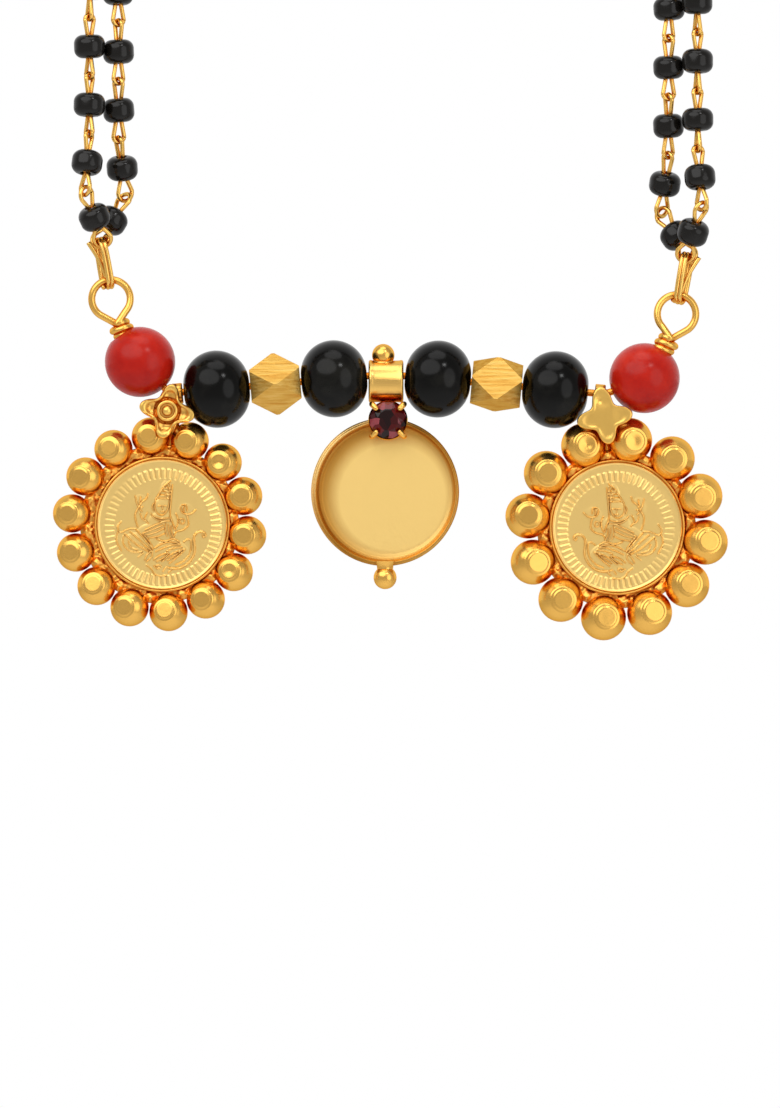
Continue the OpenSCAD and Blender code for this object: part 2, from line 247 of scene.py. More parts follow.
def material(name, colour, rough, metal=0.0, **sockets):
    """A new material. Other sockets are given by their names, with _ for a space."""
    m = bpy.data.materials.new(name)
    m.use_nodes = True
    inputs = principled(m).inputs
    inputs["Base Color"].default_value = (*colour, 1)
    inputs["Roughness"].default_value = rough
    inputs["Metallic"].default_value = metal
    for socket, value in sockets.items():
        inputs[socket.replace("_", " ")].default_value = value
    return m


def place(m):
    """Where a point is, in metres in the frame of the whole object."""
    return m.node_tree.nodes.new("ShaderNodeTexCoord").outputs["Object"]


def noise(m, scale, detail, rough=0.5, stretch=None):
    """Noise with scale waves for each metre, or stretch times as many along X, Y and Z."""
    n = m.node_tree.nodes.new("ShaderNodeTexNoise")
    n.inputs["Scale"].default_value = scale
    n.inputs["Detail"].default_value = detail
    n.inputs["Roughness"].default_value = rough
    at = place(m)
    if stretch:
        mapping = m.node_tree.nodes.new("ShaderNodeMapping")
        mapping.inputs["Scale"].default_value = stretch
        m.node_tree.links.new(at, mapping.inputs["Vector"])
        at = mapping.outputs["Vector"]
    m.node_tree.links.new(at, n.inputs["Vector"])
    return n.outputs["Fac"]


def ramp(m, source, stops):
    """Colours along a value, from a table of (value, colour)."""
    r = m.node_tree.nodes.new("ShaderNodeValToRGB")
    m.node_tree.links.new(source, r.inputs["Fac"])
    elements = r.color_ramp.elements
    while len(elements) < len(stops):
        elements.new(0.5)
    for i, (at, colour) in enumerate(stops):
        elements[i].position = at
        elements[i].color = (*colour, 1)
    return r.outputs["Color"]


def feed(m, socket, source):
    m.node_tree.links.new(source, principled(m).inputs[socket])


def bump(m, height, depth):
    """Raises the surface by up to depth mm."""
    n = m.node_tree.nodes.new("ShaderNodeBump")
    n.inputs["Distance"].default_value = depth * MM
    n.inputs["Strength"].default_value = 1.0
    m.node_tree.links.new(height, n.inputs["Height"])
    feed(m, "Normal", n.outputs["Normal"])


def openness(m, reach):
    """1 where the surface is open and 0 deep in a hollow, looking no further than reach mm."""
    n = m.node_tree.nodes.new("ShaderNodeAmbientOcclusion")
    n.samples = 8
    n.inputs["Distance"].default_value = reach * MM
    return n.outputs["AO"]


GOLD_EDGE = (1.0, 0.72, 0.42, 1)


def gold(name, open_colour, hollow_shade_colour, rough, at, reach=1.2, bumps=0.012, scale=900, stretch=None):
    """Plated metal with fine bumps and painted shade in its hollows: the shade colour where openness is below
    at[0], open_colour above at[1].
    """
    m = material(name, open_colour, rough, 1.0, Specular_Tint=GOLD_EDGE)
    # Painted shade: the colour turns darker and more orange where the surface is less open
    feed(m, "Base Color", ramp(m, openness(m, reach), [(at[0], hollow_shade_colour), (at[1], open_colour)]))
    bump(m, noise(m, scale, 3, stretch=stretch), bumps)
    return m


def brushed_gold():
    """Gold with fine streaks along the bar."""
    m = material("brushed_gold", (0.96, 0.59, 0.15), 0.42, 1.0, Specular_Tint=GOLD_EDGE)
    streaks = noise(m, 330, 4, 0.65, stretch=(0.8, 4, 12))
    stops = [(0.34, (0.60, 0.29, 0.05)), (0.5, (0.70, 0.415, 0.09)), (0.64, (0.77, 0.49, 0.135))]
    feed(m, "Base Color", ramp(m, streaks, stops))
    bump(m, streaks, 0.05)
    return m


def dish_gold(middle, reach):
    """Satin gold, bright on the dish's floor, with painted shade along its wall and bright again at its rim.

    A stop is at 1 for the middle, and at 0 for what is reach mm away from it.
    """
    m = material("dish_gold", (1.0, 0.70, 0.24), 0.475, 1.0, Specular_Tint=GOLD_EDGE)
    nearness = m.node_tree.nodes.new("ShaderNodeTexGradient")
    nearness.gradient_type = "SPHERICAL"
    about = m.node_tree.nodes.new("ShaderNodeMapping")
    about.vector_type = "TEXTURE"
    about.inputs["Location"].default_value = (middle * MM).tolist()
    about.inputs["Scale"].default_value = (reach * MM,) * 3
    m.node_tree.links.new(place(m), about.inputs["Vector"])
    m.node_tree.links.new(about.outputs["Vector"], nearness.inputs["Vector"])
    # Painted shade: a dark orange-brown band round the middle, which lies along the dish's wall
    stops = [(0.12, (0.95, 0.66, 0.26)), (0.15, (0.66, 0.35, 0.08)), (0.2, (0.42, 0.18, 0.025)),
             (0.27, (0.58, 0.30, 0.06)), (0.42, (1.0, 0.70, 0.24))]
    feed(m, "Base Color", ramp(m, nearness.outputs["Fac"], stops))
    bump(m, noise(m, 2200, 3), 0.01)
    return m


def black_glass():
    m = material("black_glass", (0.006, 0.005, 0.004), 0.17, Specular_IOR_Level=0.28)
    bump(m, noise(m, 420, 2), 0.02)
    return m


def onyx():
    m = material("onyx", (0.002, 0.002, 0.001), 0.17, Specular_IOR_Level=0.17)
    clouds = ramp(m, noise(m, 170, 4, 0.6), [(0.48, (0.0012, 0.001, 0.0006)), (0.75, (0.014, 0.013, 0.01))])
    feed(m, "Base Color", clouds)
    bump(m, noise(m, 120, 1), 0.03)
    return m


def coral():
    m = material("coral", (0.62, 0.02, 0.01), 0.24, Specular_IOR_Level=0.2, Subsurface_Weight=0.08,
                 Subsurface_Scale=0.001)
    stops = [(0.3, (0.35, 0.004, 0.002)), (0.55, (0.48, 0.013, 0.005)), (0.75, (0.63, 0.034, 0.015))]
    feed(m, "Base Color", ramp(m, noise(m, 210, 4, 0.6), stops))
    bump(m, noise(m, 160, 1), 0.03)
    return m


def garnet():
    """Dark red glass with the glints of its lower facets, as cells of about 1 mm."""
    m = material("garnet", (0.045, 0.002, 0.004), 0.05, Specular_IOR_Level=0.25, Coat_Weight=0.12,
                 Coat_Roughness=0.02)
    glints = m.node_tree.nodes.new("ShaderNodeTexVoronoi")
    glints.inputs["Scale"].default_value = 1000
    m.node_tree.links.new(place(m), glints.inputs["Vector"])
    stops = [(0.3, (0.01, 0.001, 0.001)), (0.45, (0.15, 0.004, 0.005)), (0.62, (0.012, 0.001, 0.001)),
             (0.74, (0.28, 0.05, 0.06))]
    feed(m, "Base Color", ramp(m, glints.outputs["Color"], stops))
    return m


# Each gold below has painted shade in its hollows, given by its second colour
POLISHED = gold("polished_gold", (0.89, 0.50, 0.11), (0.70, 0.21, 0.015), 0.25, at=(0.35, 0.9))
WIRE = gold("gold_wire", (0.92, 0.56, 0.14), (0.66, 0.20, 0.015), 0.24, at=(0.4, 0.9), reach=0.7, scale=1400)
STAR = gold("star_gold", (0.97, 0.59, 0.14), (0.5, 0.15, 0.01), 0.3, at=(0.5, 0.92), reach=1.1, bumps=0.02)
COIN = gold("coin_gold", (0.98, 0.67, 0.225), (0.50, 0.24, 0.05), 0.38, at=(0.45, 0.9), reach=0.22,
            bumps=0.008, scale=3000)
ROUGH = gold("rough_gold", (0.95, 0.50, 0.10), (0.62, 0.17, 0.01), 0.3, at=(0.2, 0.95), reach=1.6,
             bumps=0.06, scale=1300)
BAND = gold("band_gold", (0.92, 0.56, 0.15), (0.5, 0.14, 0.01), 0.27, at=(0.3, 0.9), reach=1.5,
            bumps=0.05, scale=300, stretch=(0.3, 1, 5))
BRUSHED = brushed_gold()
# The painted shade is centred 0.8 mm to +X of the dish's middle, so it is wider along the dish's -X wall
DISH = dish_gold(CORNER + [0.7, 0, -13.5], 10)
SEED = black_glass()
ONYX = onyx()
CORAL = coral()
GARNET = garnet()


# Chains

# A solid of a strand is a bead if it is shorter than this, and a link if not
SHORTEST_LINK = 4
# The middle part of a link, with its bead, reaches so far each way
CORE = 1.6
# Radii of a link's wire, in the solids and here, and of the twisted ends inside a bead
CAD_WIRE_R, WIRE_R, TWIST_R = 0.2, 0.245, 0.4


def solids(node):
    """The separate solids of a CAD node, each as an array of its points in mm."""
    mesh = frame["nodes"][node].data
    co = np.empty(len(mesh.vertices) * 3)
    mesh.vertices.foreach_get("co", co)
    co = co.reshape(-1, 3) / MM
    _, first, label = np.unique(np.round(co, 4), axis=0, return_index=True, return_inverse=True)
    label = label.ravel()
    edges = np.empty(len(mesh.edges) * 2, int)
    mesh.edges.foreach_get("vertices", edges)
    edges = label[edges.reshape(-1, 2)]
    owner = np.arange(len(first))
    while True:
        low = np.minimum(owner[edges[:, 0]], owner[edges[:, 1]])
        new = owner.copy()
        np.minimum.at(new, edges[:, 0], low)
        np.minimum.at(new, edges[:, 1], low)
        new = new[new]
        if (new == owner).all():
            break
        owner = new
    points = co[first]
    return [points[owner == k] for k in np.unique(owner)]


def in_order(places, start):
    """Indices of places, from the nearest to start and each time on to the nearest left."""
    left, here, order = list(range(len(places))), start, []
    while left:
        k = min(left, key=lambda i: np.linalg.norm(places[i] - here))
        left.remove(k)
        order.append(k)
        here = places[k]
    return order


def link_end(points, s):
    """How far a link's end reaches, half its loop's width, and if the loop is in the link's own YZ plane."""
    end = points[points[:, 2] * s > CORE]
    half = np.abs(end[:, :2]).max(0)
    return (end[:, 2] * s).max(), half.max(), half[1] > half[0]


def read_chain(node, start):
    """Each link from start on: its middle, its rotation, its low and high end, and if it has a bead."""
    links, beads = [], []
    for p in solids(node):
        mid = (p.min(0) + p.max(0)) / 2
        axes = np.linalg.eigh(np.cov((p - p.mean(0)).T))[1]
        if np.ptp((p - mid) @ axes, axis=0).max() < SHORTEST_LINK:
            beads.append(p.mean(0))
        else:
            links.append((p, axes[:, 2], mid))
    chain, here = [], start
    for k in in_order([mid for _, _, mid in links], start):
        p, axis, mid = links[k]
        if np.dot(axis, mid - here) < 0:
            axis = -axis
        here = mid
        near = [b for b in beads if np.linalg.norm(b - mid) < CORE]
        centre = near[0] if near else p[np.abs((p - mid) @ axis) < CORE].mean(0)
        rot = facing(axis)
        own = (p - centre) @ rot
        if not near:
            own[:, 2] -= (own[:, 2].max() + own[:, 2].min()) / 2
        chain.append((centre, rot, link_end(own, -1), link_end(own, 1), bool(near)))
    return chain


def arc(centre, r, start, end, count):
    """Points on an arc about a centre, from one angle to another in degrees."""
    angles = np.radians(np.linspace(start, end, count))
    return [(centre[0] + r * math.cos(a), centre[1] + r * math.sin(a)) for a in angles]


def seed_profile(r, h):
    """A seed bead's round shoulders, and a fine lip round each end of its hole."""
    hole, shoulder, lip = 0.56, 0.98, 0.14
    return [*arc((r - shoulder, shoulder - h / 2), shoulder, -90, 0, 9),
            *arc((r - shoulder, h / 2 - shoulder), shoulder, 0, 90, 9),
            *arc((hole + lip, h / 2 - lip), lip, 90, 180, 4),
            *arc((hole + lip, lip - h / 2), lip, 180, 270, 4)]


def loop_path(reach, r):
    """Wire out of the bead's hole, round the end of a link and back in, nearly in the XZ plane."""
    mouth, leg, offset = 1.0, 0.26, 0.09
    top = reach - r
    open_a = math.degrees(math.acos(min(1, (r - leg) / max(1e-6, math.hypot(top - mouth, leg)))))
    past = 0.8 * (90 - open_a)
    pts = [(-leg, -offset, mouth / 2), (-leg, -offset, mouth)]
    for a in np.linspace(180 + past, -past, 15):
        part = min(1, max(0, (180 - a) / 180))
        x, z = r * math.cos(math.radians(a)), top + r * math.sin(math.radians(a))
        pts.append((x, offset * (2 * part - 1), z))
    pts += [(leg, offset, mouth), (leg, offset, mouth / 2)]
    return smooth_path(pts, 0.12)


def chain_look(name, node, start):
    """A strand's links as bent wire, and its seed beads, each a little different from the last."""
    widest_loop, bead_r, bead_h = 0.9, 1.72, 2.6
    wires, beads = [], []
    chain = read_chain(node, start)
    spins = [0, *rng.uniform(26, 52, len(chain) - 1), 0]
    for (centre, rot, low, high, has_bead), low_spin, high_spin in zip(chain, spins, spins[1:]):
        for (reach, half, turned), s, spin in ((low, -1, low_spin), (high, 1, high_spin)):
            path = loop_path(reach - CAD_WIRE_R, min(half - CAD_WIRE_R, widest_loop))
            path[:, 0] *= 1 + rng.uniform(-0.05, 0.06)
            if s < 0:
                path = path * [1, -1, -1]
            loop = moved(swept(path, WIRE_R, 8), turn("Z", spin + (90 if turned else 0)))
            wires.append(moved(loop, rot, centre))
        wires.append(moved(swept([[0, 0, -1.1], [0, 0, 1.1]], TWIST_R, 10), rot, centre))
        if has_bead:
            r = bead_r * rng.uniform(0.985, 1.01)
            h = bead_h * rng.uniform(0.97, 1.03)
            lean = turn("X", rng.uniform(-5, 5)) @ turn("Y", rng.uniform(-5, 5))
            beads.append(moved(moved(revolved(seed_profile(r, h), 32, closed=True), lean), rot, centre))
    add(name + "_wire", joined(wires), WIRE, replaces=[node])
    add(name + "_beads", joined(beads), SEED, replaces=[node])


for side in SIDES:
    # Both strands start near the outer top corner of their connector ring
    ring_low, ring_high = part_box("connector_ring_" + side)
    outer_x = ring_low.x if side == "left" else ring_high.x
    start = np.array([outer_x, 0, ring_high.z]) / MM
    for level, y in (("outer", -0.4), ("inner", 0.4)):
        chain_look(f"chain_{side}_{level}", f"strand_{side}_{level}", start + [0, y, 0])


# Bar and its beads, from the corner of the bar

BAR = np.array([[-29.65, 0, 5.75], [-23.98, 0, -2.11], [0, 0, 0], [24.4, 0, -2.21], [28.2, 0, -0.14],
                [31.43, 0, 4.09]])
BAR_R = 0.4
# The left half leans so many degrees, and the right half nearly as much
BAR_SLOPE = math.degrees(math.atan2(-BAR[1][2], -BAR[1][0]))
# The tip of the neck at each end, and the bend that it rises from
NECKS = {"left": (BAR[0], BAR[1]), "right": (BAR[5], BAR[4])}
EYES = {"left": np.array([-30.25, 0, 8.28]), "right": np.array([31.96, 0, 6.63])}
EYE_R = 2.12


def rounded(points, radius):
    """A path through points with each corner cut round."""
    out = [points[0]]
    for a, b, c in zip(points[:-2], points[1:-1], points[2:]):
        cut = min(radius, 0.45 * np.linalg.norm(b - a), 0.45 * np.linalg.norm(c - b))
        s, e = b + cut * unit(a - b), b + cut * unit(c - b)
        for t in np.linspace(0, 1, 9):
            out.append((1 - t) ** 2 * s + 2 * t * (1 - t) * b + t ** 2 * e)
    out.append(points[-1])
    return np.array(out)


def eye_wire(side):
    """Out of the coral bead, round the loop at the bar's end and twice round its own neck."""
    turns, pitch, wrap_r = 2.15, 0.72, 0.9
    s = SIDES[side]
    tip, bend = NECKS[side]
    middle = EYES[side]
    down = unit(bend - tip)
    pts = [tip + 2.6 * down, tip + 1.4 * down, tip + 0.5 * down + [0, 0.12, 0]]
    to_tip = tip - middle
    toward = math.atan2(to_tip[2], to_tip[0])
    open_a = math.acos(EYE_R / np.linalg.norm(to_tip))
    for part in np.linspace(0, 1, 22):
        a = toward + s * (open_a + 2 * part * (math.pi - open_a))
        y = 0.15 - 0.65 * part ** 3
        pts.append(middle + [EYE_R * math.cos(a), y, EYE_R * math.sin(a)])
    across = np.cross(down, [0, 1, 0])
    for t in np.linspace(0, turns * 2 * math.pi, 34):
        along = 0.25 + pitch * t / (2 * math.pi) + 0.18 * math.sin(t)
        ring = -wrap_r * (math.cos(t) * np.array([0, 1, 0]) + s * math.sin(t) * across)
        pts.append(tip + along * down + ring)
    return swept(smooth_path(pts, 0.2), BAR_R, 16)


left_end, right_end = (tip + 0.8 * unit(bend - tip) for tip, bend in NECKS.values())
bar_shape = swept(rounded([left_end, *BAR[1:5], right_end], 1.2), 0.98 * BAR_R, 16)
bar_shape = joined([bar_shape, eye_wire("left"), eye_wire("right")])
add("bar_wire_look", moved(bar_shape, at=CORNER), POLISHED, replaces=["bar_wire"])


def coral_look(side, at, seed):
    """A round bead, nearly flat where the wire's wraps round the neck lie on it."""
    tip, bend = NECKS[side]
    out = unit(tip - bend)
    verts, faces = moved(lumpy(sphere(3.88, 72, 96), 0.008, seed), facing(out))
    flat = np.dot(tip - at, out) - 1.45
    over = np.clip(verts @ out - flat, 0, None)
    verts = verts - np.outer(0.96 * over, out) + at + CORNER
    add(f"coral_{side}_look", (verts, faces), CORAL, replaces=[f"coral_bead_{side}"])


coral_look("left", [-27.06, 0, 1.35], seed=3)
coral_look("right", [28.45, 0, -0.39], seed=8)


def onyx_profile(r, h):
    """A barrel with a round side, and a short wall down its hole at each end."""
    hole, edge, inside = 0.55, h / 2 - 0.05, h / 2 - 0.5
    side = arc((r - h / 2, 0), h / 2, -88.65, 88.65, 49)
    return [(hole, -inside), (hole, -edge), *side, (hole, edge), (hole, inside)]


for k in range(1, 5):
    node = f"onyx_bead_{k}"
    barrel = lumpy(revolved(onyx_profile(4.25, 7.24), 96), 0.004, seed=k)
    along_bar = turn("Y", 90 + BAR_SLOPE * (-1 if k < 3 else 1))
    add(node + "_look", moved(barrel, along_bar, box_middle(node)), ONYX, replaces=[node])


def repainted(node, look):
    """A CAD piece that is shown as it is, with its material."""
    obj = frame["nodes"][node]
    obj.data.materials.clear()
    obj.data.materials.append(look)
    return obj


for side in SIDES:
    edges = repainted("faceted_bead_" + side, BRUSHED).modifiers.new("edges", "BEVEL")
    edges.width = 0.12 * MM
    edges.segments = 3
    edges.angle_limit = math.radians(20)


def connector_look(side):
    """Wire wound two and a half times into a long ring with splayed ends, and a loose end in front of it."""
    s, node = SIDES[side], "connector_ring_" + side
    wire_r, r, long = 0.25, 1.2, 5.4
    lean = turn("Y", s * 10) @ turn("Z", 90 - s * 14)
    pts = []
    for t in np.linspace(-0.04, 2.52, 110):
        a = 2 * math.pi * t
        x = r * math.sin(a)
        z = (long / 2 - r) * np.clip(2.2 * math.cos(a), -1, 1) + r * math.cos(a)
        splay = max(0, 0.05 - t) * 5 + max(0, t - 2.44) * 4
        y = 0.4 * t - 0.5 + (-0.3 if t < 1 else 0.5) * splay
        pts.append((x * (1 + 0.3 * splay), y, z + 0.6 * splay))
    up, out = unit([s * 0.176, 0, 1]), np.array([s, 0, 0])
    bends = ((-1.6, 0.1), (-0.4, 0.3), (0.9, 0.75), (2.3, 1.4))
    loose = smooth_path([u * up + o * out for u, o in bends], 0.2) + [0, -0.62, 0]
    coil = joined([moved(swept(pts, wire_r, 12), lean), swept(loose, wire_r, 12)])
    add(f"connector_{side}_look", moved(coil, at=box_middle(node)), WIRE, replaces=[node])


connector_look("left")
connector_look("right")


# Centre pendant, from the corner of the bar

SETTING_AT = [0.22, -0.45, -5.08]
DISH_AT = np.array([-0.1, 0, -12.95])


def pendant_look(name, shape, look, sharp=None):
    add("pendant_" + name, moved(shape, at=CORNER), look, replaces=["centre_pendant"],
        body="pendant", sharp=sharp)


def same_below(half):
    """A whole profile, from its lower inner edge round to its upper one, made from its upper half."""
    return [(r, -z) for r, z in half] + half[::-1]


band = same_below([(0.9, 1.92), (1.9, 1.92), (2.2, 1.9), (2.33, 1.8), (2.36, 1.66), (2.31, 1.5), (2.29, 1.2)])
pendant_look("band", moved(revolved(band, 96, closed=True), turn("Y", 90), [0, 0, -0.78]), BAND, sharp=60)

cup = [(0.02, -0.3), (1.9, -0.3), (2.1, -0.1), (2.17, 0.2), (2.17, 1.2), (2.1, 1.32), (2.0, 1.25),
       (0.5, 0.12), (0.02, 0.1)]
setting = [revolved(cup, 64)]
for q in (45, 135, 225, 315):
    c, s = math.cos(math.radians(q)), math.sin(math.radians(q))
    bends = [(2.02, 0.3), (2.3, 1.0), (2.5, 1.65), (2.42, 1.98), (2.15, 2.22), (1.86, 2.34)]
    path = smooth_path([(r * c, r * s, z) for r, z in bends], 0.08)
    widths = np.interp(np.linspace(0, 1, len(path)), [0, 0.5, 0.8, 1], [0.26, 0.28, 0.34, 0.3])
    setting += [swept(path, widths, 14), ball(0.3, path[-1], sides=20)]
top_ball = ball(1.24, [-0.3, 0, 2.1])
collar = moved(torus(0.86, 0.24, 12, 64), turn("X", 14), [-0.3, -0.15, 1.42])
top_neck = moved(revolved([(0.9, -0.5), (1.0, 0.2), (0.8, 0.6)], 32), at=[-0.3, 0, 1.0])
rod = swept([[0, 0.15, -2.6], [0, 0.15, -5.2]], 0.6, 24)
pendant_frame = [top_ball, collar, top_neck, rod, moved(joined(setting), FRONT, SETTING_AT)]
pendant_look("frame", joined(pendant_frame), POLISHED, sharp=50)

# The dish: steps from its middle over its rim to its back, and the radius and the height at each
DISH_T = [0, 0.48, 0.54, 0.60, 0.67, 0.71, 0.75, 0.79, 0.83, 0.88, 0.92, 1]
DISH_R = [0, 6.7, 7.15, 7.45, 7.64, 7.72, 7.82, 7.92, 8.0, 8.13, 8.15, 7.5]
DISH_Z = [0.1, 0.08, 0.15, 0.38, 0.86, 0.99, 0.98, 0.6, 0.58, 0.42, 0.1, -0.4]


def dish_point(t, a):
    """A point of the dish, t from 0 at its middle to 1 at its back, a round it. Its floor lies off centre."""
    wall_r, wall_wide, off_x, off_y, rim_t = 7.9, 1.3, 0.42, -0.1, 0.75
    r = np.interp(t, DISH_T, DISH_R)
    drift = min(1, max(0, (wall_r - r) / wall_wide)) if t < rim_t else 0
    return r * math.cos(a) + off_x * drift, r * math.sin(a) + off_y * drift, np.interp(t, DISH_T, DISH_Z)


rows, cols = 90, 160
dish = np.array([dish_point(t, a) for t in np.linspace(0.002, 1, rows) for a in circle(cols)])
pendant_look("dish", moved((dish, capped_faces(rows, cols)), FRONT, DISH_AT), DISH, sharp=60)
foot_ball = ball(1.27, [0, -0.3, -9.42])
foot_neck = moved(revolved([(1.0, -0.9), (0.86, -0.3), (0.92, 0.3), (1.25, 0.75)], 32), at=[0, -0.3, -8.35])
pendant_look("drop", moved(joined([foot_ball, foot_neck]), at=DISH_AT), POLISHED)


def cut_stone(r):
    """A round stone with a table, star and main facets on its crown and a cone of facets below."""
    sides = 12
    # Radius, height and how far each ring of corners is turned, in sides
    levels = [(0.02, 0.30, 0), (0.97 * r, 1.46, 0), (r, 1.55, 0.5), (r, 1.72, 0.5), (0.80 * r, 2.1, 0),
              (0.56 * r, 2.42, 0.5)]
    verts, faces = [], []
    for radius, z, shift in levels:
        for k in range(sides):
            a = 2 * math.pi * (k + shift) / sides
            verts.append((radius * math.cos(a), radius * math.sin(a), z))
    for row, (lower, upper) in enumerate(zip(levels, levels[1:])):
        for k in range(sides):
            a, b = row * sides + k, row * sides + (k + 1) % sides
            d, e = a + sides, b + sides
            if lower[2] == upper[2]:
                faces.append((a, b, e, d))
            elif lower[2] == 0:
                faces += [(a, b, d), (b, e, d)]
            else:
                faces += [(a, b, e), (a, e, d)]
    faces.append(tuple(range(len(verts) - sides, len(verts))))
    faces.append(tuple(range(sides))[::-1])
    return np.array(verts), faces


add("garnet_look", moved(cut_stone(2.05), FRONT, CORNER + SETTING_AT), GARNET, replaces=["garnet"],
    body="pendant", smooth=False)


# Medallions

def star_point(t, a, boss):
    """A point of a star's petals, t from 0 at its middle over its edge to 1 behind it, a round it."""
    dished, puff, upper, lower = (0.42, 0.13, -0.04, 0) if boss else (0.07, 0.04, 0.12, 0.05)
    face_t, edge_t, edge_z = 0.75, 0.92, 2.3
    petal = 0.5 + 0.5 * math.cos(4 * a)
    edge = 1.78 + 1.32 * petal ** 1.15
    edge *= 1 + upper * max(0, math.sin(a)) ** 3
    edge *= 1 - lower * max(0, -math.sin(a)) ** 3
    if t < face_t:
        u = t / face_t
        r = edge * 0.93 * u
        x, y = r * math.cos(a), r * math.sin(a)
        z = 2.62 + puff * math.exp(-((u - 0.9) / 0.1) ** 2)
        z -= dished * petal * math.exp(-((r - 1.75) / 0.62) ** 2)
        if boss:
            # A moat round the boss
            z -= 0.3 * math.exp(-((r - 1.32) / 0.16) ** 2)
        else:
            # A dent in the upper petal
            z -= 0.12 * math.exp(-((x + 0.35) ** 2 + (y - 2.0) ** 2) / 0.09)
        return x, y, z
    if t < edge_t:
        u = (t - face_t) / (edge_t - face_t) * math.pi / 2
        r = edge * (0.93 + 0.07 * math.sin(u))
        z = edge_z + (0.32 + 0.47 * puff) * math.cos(u)
    else:
        u = (t - edge_t) / (1 - edge_t)
        r, z = edge * (1 - 0.08 * u), edge_z - 0.3 * u
    return r * math.cos(a), r * math.sin(a), z


def star_shape(boss):
    """Four petals with rounded tips: dished round a boss, or nearly flat and longer at the top."""
    rows, cols = 30, 160
    petals = np.array([star_point(t, a, boss) for t in np.linspace(0, 1, rows) for a in circle(cols)])
    shapes = [(petals, capped_faces(rows, cols)), revolved([(0.85, -0.2), (0.85, 2.1)], 32)]
    if boss:
        shapes += [moved(torus(0.98, 0.2, 12, 48), at=[0, 0, 2.6]), ball(0.62, [0, 0, 2.42], sides=32)]
    return joined(shapes)


